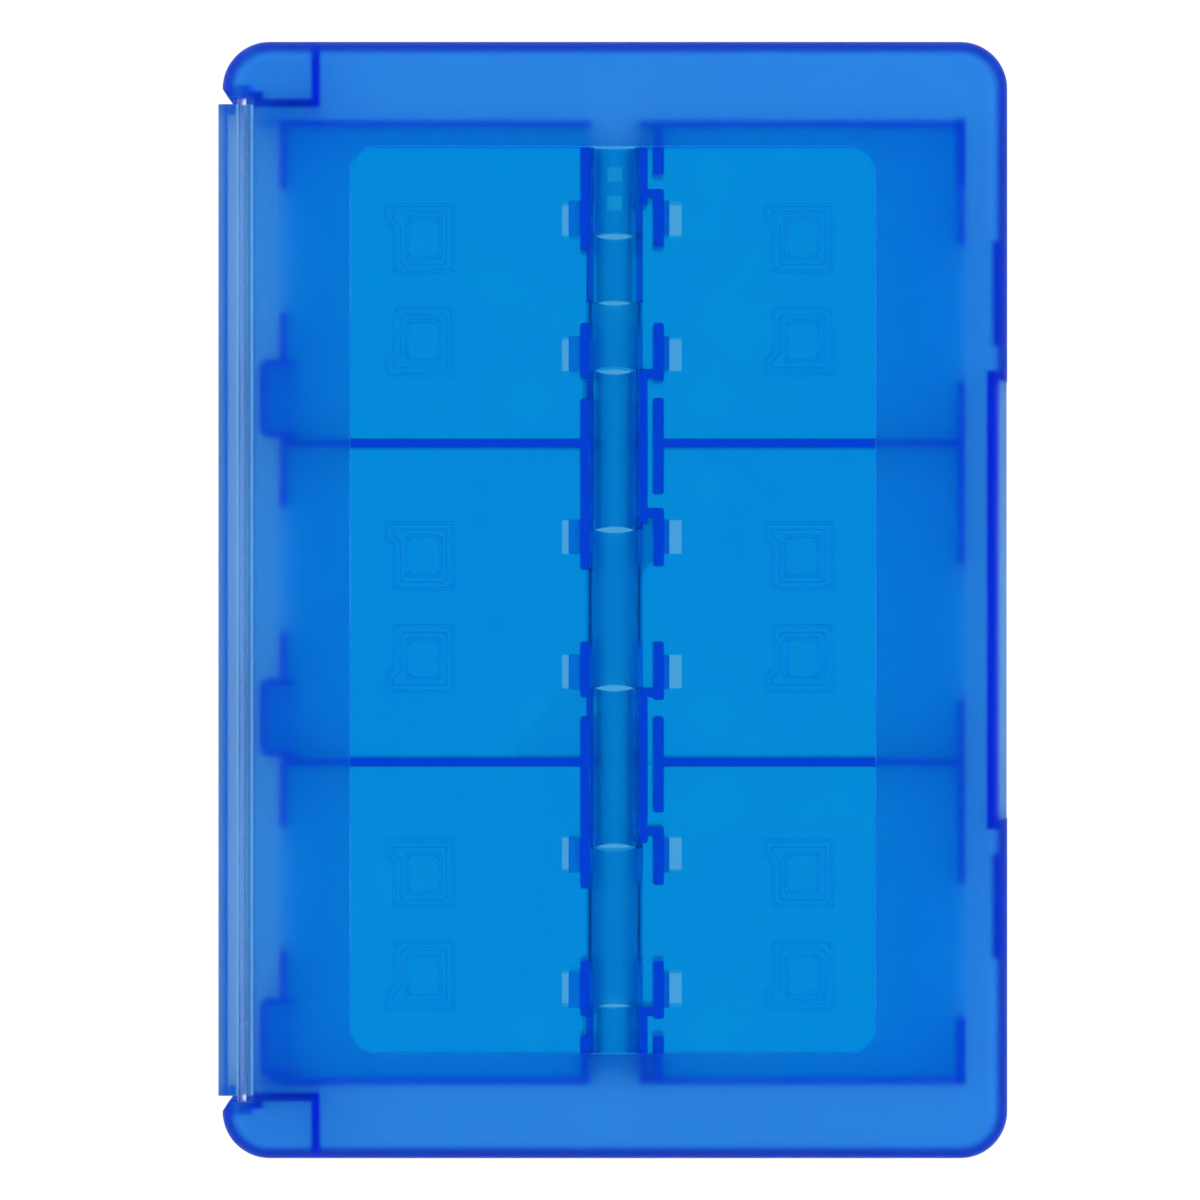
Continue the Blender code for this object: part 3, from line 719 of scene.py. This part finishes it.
# %% Walls of a tray
def long_walls():
    """End walls and dividers, broken where the stylus tube passes."""
    made = []
    for side in (-1, 1):
        ends = (side * (tray_half - tray_wall), side * tray_half)
        made.append(block("end", tray_left, left_bar + bar_wide, *ends, low, high, edge_soft))
        made.append(block("end", flank, tray_right, *ends, low, high, edge_soft))
    for number in range(1, rows):
        y = tray_half - tray_wall / 2 - number * pitch
        span = (y - tray_wall / 2, y + tray_wall / 2)
        made.append(block("divider", tray_left, left_bar + bar_wide, *span, low, high, edge_soft))
        made.append(block("divider", tab_x, tray_right, *span, low, high, edge_soft))
    return made


def side_walls():
    """The walls at the left and right, with a notch in every row for a fingertip."""
    right_length, right_drop, left_length, left_rise, bump = 0.0153, 0.0034, 0.0140, 0.0038, 0.0092
    made = []
    for y in row_middles:
        top, foot = y + pitch / 2, y - pitch / 2
        notch = y - right_drop + right_length / 2
        made.append(block("side", tray_right - tray_wall, tray_right, notch, top, low, high, edge_soft))
        made.append(block("side", tray_right - tray_wall, tray_right, foot, notch - right_length,
                          low, high, edge_soft))
        notch = y + left_rise + left_length / 2
        made.append(block("side", tray_left, tray_left + tray_wall, notch, top, low, high, edge_soft))
        made.append(block("side", tray_left, tray_left + tray_wall, foot + bump, notch - left_length,
                          low, high, edge_soft))
    return made


# %% [markdown]
# Beside the tube the wall is broken into long bars and short tabs. A tab stands free on three sides, so it
# can spring back as a card is pressed in, and on the right it is tied to the tube by a small bridge.

# %% Bars and tabs
def bars_and_tabs():
    inner, outer, foot_gap, head_gap, half_bar = 0.0045, 0.0109, 0.0132, 0.0038, 0.0058
    tab_drop, bar_short, soft = 0.0003, 0.0006, 0.0003
    left, right = (left_bar, left_bar + bar_wide), (tab_x, tab_x + bar_wide)
    made = []
    for y in row_middles:
        top, foot = y + pitch / 2, y - pitch / 2
        spans = [
            (left, y + head_gap, min(top, tube_top)), (left, y - outer, y - inner),
            (left, foot, y - foot_gap),
            (right, top - half_bar, top), (right, foot, foot + half_bar - bar_short),
            (right, y + inner - tab_drop, y + outer - tab_drop), (right, y - outer - tab_drop, y - inner),
        ]
        made += [block("bar", *across, *sorted(along), low, high, soft) for across, *along in spans]
        for side in (-1, 1):
            made.append(block("bridge", flank, tab_x + bar_wide, y + side * outer,
                              y + side * (outer - bridge), low, high, soft))
        made.append(block("flank", flank, flank + tray_wall, y + inner * 2, min(top, tube_top),
                          low, high, soft))
        made.append(block("flank", flank, flank + tray_wall, foot - tray_wall / 2, y - outer + bridge,
                          low, high, soft))
    return made


# %% Latches and mould openings
latch_middle = 0.0078
latch_drop = 0.0002
latch_half = 0.00195


def latches():
    """Lips at the top of the tabs on both faces, which hold a card down."""
    height, reach_left, reach_right, soft = 0.0013, 0.0013, 0.0006, 0.00012
    made = []
    for y in row_middles:
        for side in (-1, 1):
            middle = y - latch_drop + side * latch_middle
            span = (middle - latch_half, middle + latch_half)
            for face in (-1, 1):
                lip = (face * (high - height), face * high)
                made.append(block("latch", left_bar - reach_left, left_bar + bar_wide / 2, *span, *lip, soft))
                made.append(block("latch", right_pocket - bar_wide / 2, right_pocket + reach_right,
                                  *span, *lip, soft))
    return made


def mould_openings():
    wide, deep = 0.0021, tray_floor / 2 + overrun
    made = []
    for y in row_middles:
        for side in (-1, 1):
            middle = y - latch_drop + side * latch_middle
            span = (middle - latch_half, middle + latch_half)
            made.append(block("core", left_bar - wide, left_bar, *span, -deep, deep))
            made.append(block("core", right_pocket, right_pocket + wide, *span, -deep, deep))
    return made


# %% [markdown]
# The stylus tube is a trick of the mould. A closed tube can't be pulled out of a two-part mould, so it is
# made of half shells that lie above and below the floor by turns. Where two halves meet, a pointed oval
# gap is left, and through it the light comes almost unstained.

# %% Stylus tube
def tube_lengths():
    """Each length of the tube from the mouth down: (from, to, which face of the floor it is on)."""
    above, below = 0.0084, 0.0099
    first = row_middles[0]
    upper_gap, lower_gap = first + 0.0057, first - 0.0021
    lengths = [(tube_top, upper_gap, -1), (upper_gap, lower_gap, -1), (lower_gap, first - below, 1)]
    last = first - below
    for y in row_middles[1:]:
        lengths += [(last, y + above, -1), (y + above, y - below, 1)]
        last = y - below
    return lengths + [(last, -tray_half + tray_wall, -1)]


def shell_runs(face):
    """The stretches, as (y from, y to), along which the tube has its shell on one face of the floor."""
    runs = []
    for start, end, shell_face in tube_lengths():
        if shell_face != face:
            continue
        if runs and runs[-1][1] == start:
            start = runs.pop()[0]
        runs.append((start, end))
    return runs


def tube_shells(faces_up):
    made = []
    for face in (-1, 1):
        half = face * faces_up
        outline = arc(tube_x, 0, bore + tube_wall, 0, 180 * half, 32)
        made += [prism("shell", outline if half > 0 else outline[::-1], end, start)
                 for start, end in shell_runs(face)]
    return made


def tube_cuts(faces_up):
    gap_wide, gap_long, deep = 0.0048, 0.0008, bore + tube_wall + overrun
    peep, peep_depth, peep_step = 0.0017, 0.0021, 0.0033
    made = [bar("bore", tube_x, 0, bore, -tray_half - overrun, tray_half + overrun, 64)]
    made += [plate("gap", [lens(tube_x, start, gap_wide, gap_long)], -deep, deep)
             for start, _, _ in tube_lengths()[1:]]
    for hole in range(2 if faces_up > 0 else 0):
        top = tube_top - peep_depth - hole * peep_step
        made.append(block("peep", tube_x - peep / 2, tube_x + peep / 2, top - peep, top, -deep, deep))
    return made


# %% [markdown]
# On the hinge side every row ends in a small walled bump, and the tray turns on two pegs that stand out of
# lugs on its end walls.

# %% Bumps, lugs and pegs
bump_length = 0.0092
bump_soft = 0.0012
bump_left = tray_left - 0.0023


def bumps():
    made = []
    for y in row_middles:
        foot = y - pitch / 2 + tray_wall / 2
        outline = rounded_rectangle(
            bump_left, tray_left + tray_wall + bump_soft, foot, foot + bump_length, bump_soft, 8)
        made.append(plate("bump", [outline], low, high))
    return made


def bump_rooms():
    thick, web = 0.0009, 0.0012
    made = []
    for y in row_middles:
        foot = y - pitch / 2 + tray_wall / 2
        for face in (-1, 1):
            outline = rounded_rectangle(
                bump_left + thick, tray_left + tray_wall + 2 * bump_soft, foot + thick,
                foot + bump_length - thick, bump_soft / 2, 5)
            made.append(plate("room", [outline], *sorted((face * web, face * (high + overrun)))))
    return made


def pegs():
    lug_half, margin = 0.0020, 0.0002
    made = []
    for side in (-1, 1):
        ends = sorted((side * (tray_half - tray_wall / 2), side * tray_high.y))
        made.append(bar("peg", peg_x, 0, peg_radius, *ends, 32, tip=peg_radius / 4))
        made.append(block("lug", peg_x - peg_radius - margin, tray_left + tray_wall / 2,
                          side * (tray_half - tray_wall), side * tray_half, -lug_half, lug_half))
    return made


# %% [markdown]
# Each pocket floor carries a small raised mark that shows which way a card goes in: a square with a tab,
# and a smaller square inside it. The marks on one face sit high in the pocket, and those on the other face
# sit low. Ejector pins leave faint round dimples. Both could be bumps in the material, but real relief
# refracts the light as the real lines do, so the marks are thin ridges joined to the floor.

# %% Marks on the floors
def square_outline(x, y, wide, tall, radius):
    def at(inset):
        return rounded_rectangle(x - wide / 2 + inset, x + wide / 2 - inset, y - tall / 2 + inset,
                                 y + tall / 2 - inset, radius, 4)
    return at


def tabbed_outline(x, y, wide, tall, flip):
    """A square with a tab at the upper left, or at the lower left when it is flipped."""
    tab, tab_tall, slope, radius, turn = 0.00093, 0.0021, 0.0009, 0.0005, 0.41

    def at(inset):
        left, right = x - wide / 2 + inset, x + wide / 2 - inset
        foot, top = y - tall / 2 + inset, y + tall / 2 - inset
        tab_foot = y + tall / 2 - tab_tall + inset * turn
        points = arc(right - radius, foot + radius, radius, -90, 0, 4)
        points += [(right, top), (left - tab, top), (left - tab, tab_foot), (left, tab_foot - slope)]
        points += arc(left + radius, foot + radius, radius, 180, 270, 4)
        return [(px, 2 * y - py) for px, py in points][::-1] if flip else points
    return at


def ridge(name, outline_at, inset, line, slope, foot_z, top_z):
    """A closed ridge along an outline: a ring of four loops, two in the floor and two on top."""
    shape = bmesh.new()
    loops = [
        [shape.verts.new((x, y, z)) for x, y in outline_at(inset + across)]
        for across, z in ((0, foot_z), (slope, top_z), (line - slope, top_z), (line, foot_z))
    ]
    for number, loop in enumerate(loops):
        beside = loops[(number + 1) % len(loops)]
        for step in range(len(loop)):
            ahead = (step + 1) % len(loop)
            shape.faces.new((loop[step], loop[ahead], beside[ahead], beside[step]))
    bmesh.ops.recalc_face_normals(shape, faces=shape.faces)
    return mesh_object(shape, name)


def floor_marks(faces_up):
    wide, tall, small_wide, small_tall, small_radius = 0.0073, 0.0081, 0.0044, 0.0051, 0.0006
    line, thin, gap, relief, slope, sunk = 0.0005, 0.00022, 0.0009, 0.00025, 0.0001, 0.0002
    front_up, back_down, off_centre = 0.0054, 0.0065, 0.0013
    columns = ((tray_left + tray_wall + left_bar) / 2 - off_centre,
               (right_pocket + tray_right) / 2 - off_centre)
    made = []
    for y in row_middles:
        for x in columns:
            for face, middle in ((-faces_up, y + front_up), (faces_up, y - back_down)):
                span = (face * (tray_floor / 2 - sunk), face * (tray_floor / 2 + relief))
                outer = tabbed_outline(x, middle, wide, tall, middle < y)
                inner = square_outline(x, middle, small_wide, small_tall, small_radius)
                made.append(ridge("mark", outer, 0, line, slope, *span))
                made.append(ridge("mark", outer, gap, thin, slope, *span))
                made.append(ridge("mark", inner, 0, line, slope, *span))
    return made


# %% Dimples of the ejector pins
def dimples():
    """Shallow round marks of the ejector pins, near the corners of the pockets."""
    radius, depth, across, along = 0.0023, 0.00012, 0.0055, 0.0052
    made = []
    for y in row_middles:
        for x, side in ((right_pocket + across, -1), (right_pocket + across, 1), (left_bar - across, -1)):
            middle = y + side * (pitch / 2 - along)
            made.append(plate("dimple", [arc(x, middle, radius, 0, 360, 32)[:-1]],
                              tray_floor / 2 - depth, tray_floor / 2 + overrun))
    return made


# %% [markdown]
# The tray is modelled flat about its own middle and lifted into place at the end. The rear tray is the
# same moulding turned over, so its half shells lie the other way.
#
# The tube and the upright faces are rougher than the floors, as faces drawn along a mould are. They take
# the frosted finish by the same value on each face, the tube in full and the walls by less than half.

# %% Build a tray
def build_tray(name, middle_z, faces_up):
    tray_corner = 0.0009
    outline = rounded_rectangle(tray_left, tray_right, -tray_half, tray_half, tray_corner, 5)
    floor = plate(name, [outline], -tray_floor / 2, tray_floor / 2)
    obj = moulded(
        floor,
        ("UNION", long_walls() + side_walls() + bars_and_tabs() + bumps()),
        ("UNION", tube_shells(faces_up)),
        ("DIFFERENCE", tube_cuts(faces_up)),
        ("DIFFERENCE", mould_openings()),
        ("UNION", latches() + pegs()),
        ("DIFFERENCE", bump_rooms() + dimples()),
        ("UNION", floor_marks(faces_up)))
    near_tube, wall_frost = bore + 2 * tube_wall, 0.45
    drawn = [
        1.0 if math.hypot(face.center.x - tube_x, face.center.z) < near_tube
        else wall_frost if abs(face.normal.z) < 0.6 else 0.0
        for face in obj.data.polygons]
    obj.data.attributes.new("frost", "FLOAT", "FACE").data.foreach_set("value", drawn)
    obj.data.transform(Matrix.Translation((0, -end_play, middle_z)))
    obj.data.materials.clear()
    obj.data.materials.append(tray_plastic)
    shade(obj)
    return obj


rear_tray_skin = build_tray("rear_tray_skin", rear_tray_z, -1)
front_tray_skin = build_tray("front_tray_skin", front_tray_z, 1)

# %% [markdown]
# ## Who moves with whom
#
# Each fine piece takes the place of one plain node and rides on that node's body, so opening the case in
# the motion model opens it here as well.

# %% Ride and replace
for piece, body, node, finish in (
    (rear_cover_skin, "rear_cover", "rear_cover", "cover"),
    (front_cover_skin, "front_cover", "front_cover", "cover"),
    (spine_channel, "spine", "spine", "spine"),
    (rear_rod_skin, "spine", "rear_hinge_rod", "rod"),
    (front_rod_skin, "spine", "front_hinge_rod", "rod"),
    (rear_tray_skin, "rear_tray", "rear_tray", "tray"),
    (front_tray_skin, "front_tray", "front_tray", "tray"),
):
    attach(piece, body)
    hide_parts(node)
    print(f"{piece.name} rides on {body}")

# %% [markdown]
# ## Table, light and camera
#
# The photograph was taken from straight above on a bright white table. The light that matters comes up
# from the table through all the layers. The table is therefore white to every ray that the camera sends,
# straight, mirrored or through the plastic, and a plain white surface to the lamps, which keeps a faint
# shadow. A real lamp under the table would need many more samples for the same look.

# %% White table and surroundings
def seen_rays(tree, place, kinds=("Is Transmission Ray", "Is Glossy Ray")):
    """1 for rays from the camera and for the named kinds of ray, and 0 for the rest."""
    path = add_node(tree, "ShaderNodeLightPath", place)
    source = path.outputs["Is Camera Ray"]
    for number, kind in enumerate(kinds, start=1):
        either = add_node(tree, "ShaderNodeMath", (place[0] + 200 * number, place[1]), operation="MAXIMUM")
        tree.links.new(source, either.inputs[0])
        tree.links.new(path.outputs[kind], either.inputs[1])
        source = either.outputs[0]
    return source


def table_white():
    material = bpy.data.materials.new("table_white")
    material.use_nodes = True
    tree = material.node_tree
    tree.nodes.clear()
    out = add_node(tree, "ShaderNodeOutputMaterial", (600, 0))
    matt = add_node(tree, "ShaderNodeBsdfDiffuse", (0, -200))
    matt.inputs["Color"].default_value = (0.22, 0.22, 0.22, 1)
    glow = add_node(tree, "ShaderNodeEmission", (0, 0))
    glow.inputs["Color"].default_value = (1, 1, 1, 1)
    strength = add_node(tree, "ShaderNodeMath", (-200, 0), operation="MULTIPLY")
    strength.inputs[1].default_value = 0.9
    tree.links.new(seen_rays(tree, (-800, 0)), strength.inputs[0])
    tree.links.new(strength.outputs[0], glow.inputs["Strength"])
    both = add_node(tree, "ShaderNodeAddShader", (300, 0))
    tree.links.new(glow.outputs[0], both.inputs[0])
    tree.links.new(matt.outputs[0], both.inputs[1])
    tree.links.new(both.outputs[0], out.inputs["Surface"])
    return material


table_size = 6.0
table_drop, table_thick, table_corner = 0.0002, 0.01, 0.5
table = plate(
    "table", [rounded_rectangle(-table_size, table_size, -table_size, table_size, table_corner)],
    -table_drop - table_thick, -table_drop)
bpy.context.scene.collection.objects.link(table)
table.data.materials.clear()
table.data.materials.append(table_white())

world = bpy.data.worlds.new("white_room")
bpy.context.scene.world = world
world.use_nodes = True
sky = world.node_tree.nodes["Background"]
sky.inputs["Color"].default_value = (1, 1, 1, 1)
room = add_node(world.node_tree, "ShaderNodeMapRange", (-200, 0))
room.inputs["To Min"].default_value = 0.6
room.inputs["To Max"].default_value = 1.0
seen = seen_rays(world.node_tree, (-900, 0), kinds=("Is Transmission Ray",))
world.node_tree.links.new(seen, room.inputs["Value"])
world.node_tree.links.new(room.outputs["Result"], sky.inputs["Strength"])

# %% [markdown]
# The camera's side of the studio was dark, so the flat faces mirror next to nothing and keep their full
# colour. A dark card over the case, seen only by mirrored rays, does the same here. Its faint blue glow is
# painted light, mirrored in the plastic in place of the haze that fills the real plastic's darkest edges
# with its own colour. Long soft lamps at the sides give the edges and the rods their thin highlights.

# %% Lamps and dark card
def soft_lamp(name, place, aim, wide, long, watts):
    data = bpy.data.lights.new(name, "AREA")
    data.shape, data.size, data.size_y, data.energy = "RECTANGLE", wide, long, watts
    lamp = bpy.data.objects.new(name, data)
    lamp.location = place
    lamp.rotation_euler = (Vector(aim) - Vector(place)).to_track_quat("-Z", "Y").to_euler()
    bpy.context.scene.collection.objects.link(lamp)
    return lamp


soft_lamp("left_lamp", (-0.9, 0.1, 0.5), (0, 0, 0), 0.3, 0.9, 2.5)
soft_lamp("right_lamp", (0.9, -0.1, 0.5), (0, 0, 0), 0.3, 0.9, 2.0)
soft_lamp("top_lamp", (0.0, 0.9, 0.6), (0, 0, 0), 0.9, 0.3, 2.5)

card_height, card_half, card_thick = 0.9, 1.1, 0.01
card = block("dark_card", -card_half, card_half, -card_half, card_half,
             card_height, card_height + card_thick)
bpy.context.scene.collection.objects.link(card)
dark = bpy.data.materials.new("card_dark_painted_glow")
dark.use_nodes = True
painted_glow_card_shader = dark.node_tree.nodes["Principled BSDF"]
painted_glow_card_shader.inputs["Base Color"].default_value = (0, 0, 0, 1)
painted_glow_card_shader.inputs["Specular IOR Level"].default_value = 0
# Painted light: the card glows a faint blue, and the plastic mirrors that glow into its darkest edges.
painted_glow_card_shader.inputs["Emission Color"].default_value = (0.02, 0.25, 1, 1)
painted_glow_card_shader.inputs["Emission Strength"].default_value = 0.35
card.data.materials.append(dark)
card.visible_camera = card.visible_diffuse = card.visible_shadow = card.visible_transmission = False

# %% [markdown]
# The camera looks straight down from far off, as a long lens does. The case sits a little to the right of
# the middle of the photograph, so the camera stands a little to the left of the case, where it also sees
# what the photograph's camera saw of the walls.

# %% Camera
picture_pixels = 1200
case_middle_pixel = 612.75
mm_per_pixel = 0.1148
camera_distance = 1.1
sensor = 0.036
frame_width = picture_pixels * mm_per_pixel / 1000
camera_data = bpy.data.cameras.new("camera")
camera_data.sensor_width = sensor * 1000
camera_data.lens = sensor * 1000 * camera_distance / frame_width
camera_data.clip_start, camera_data.clip_end = 0.01, 20
camera = bpy.data.objects.new("camera", camera_data)
aside = (picture_pixels / 2 - case_middle_pixel) * mm_per_pixel / 1000
camera.location = (aside, 0, case_depth + camera_distance)
bpy.context.scene.collection.objects.link(camera)
bpy.context.scene.camera = camera

scene = bpy.context.scene
scene.view_settings.view_transform = "Standard"
scene.cycles.max_bounces = 32
scene.cycles.transmission_bounces = 32
scene.cycles.glossy_bounces = 12
print(f"lens {camera_data.lens:.0f} mm")
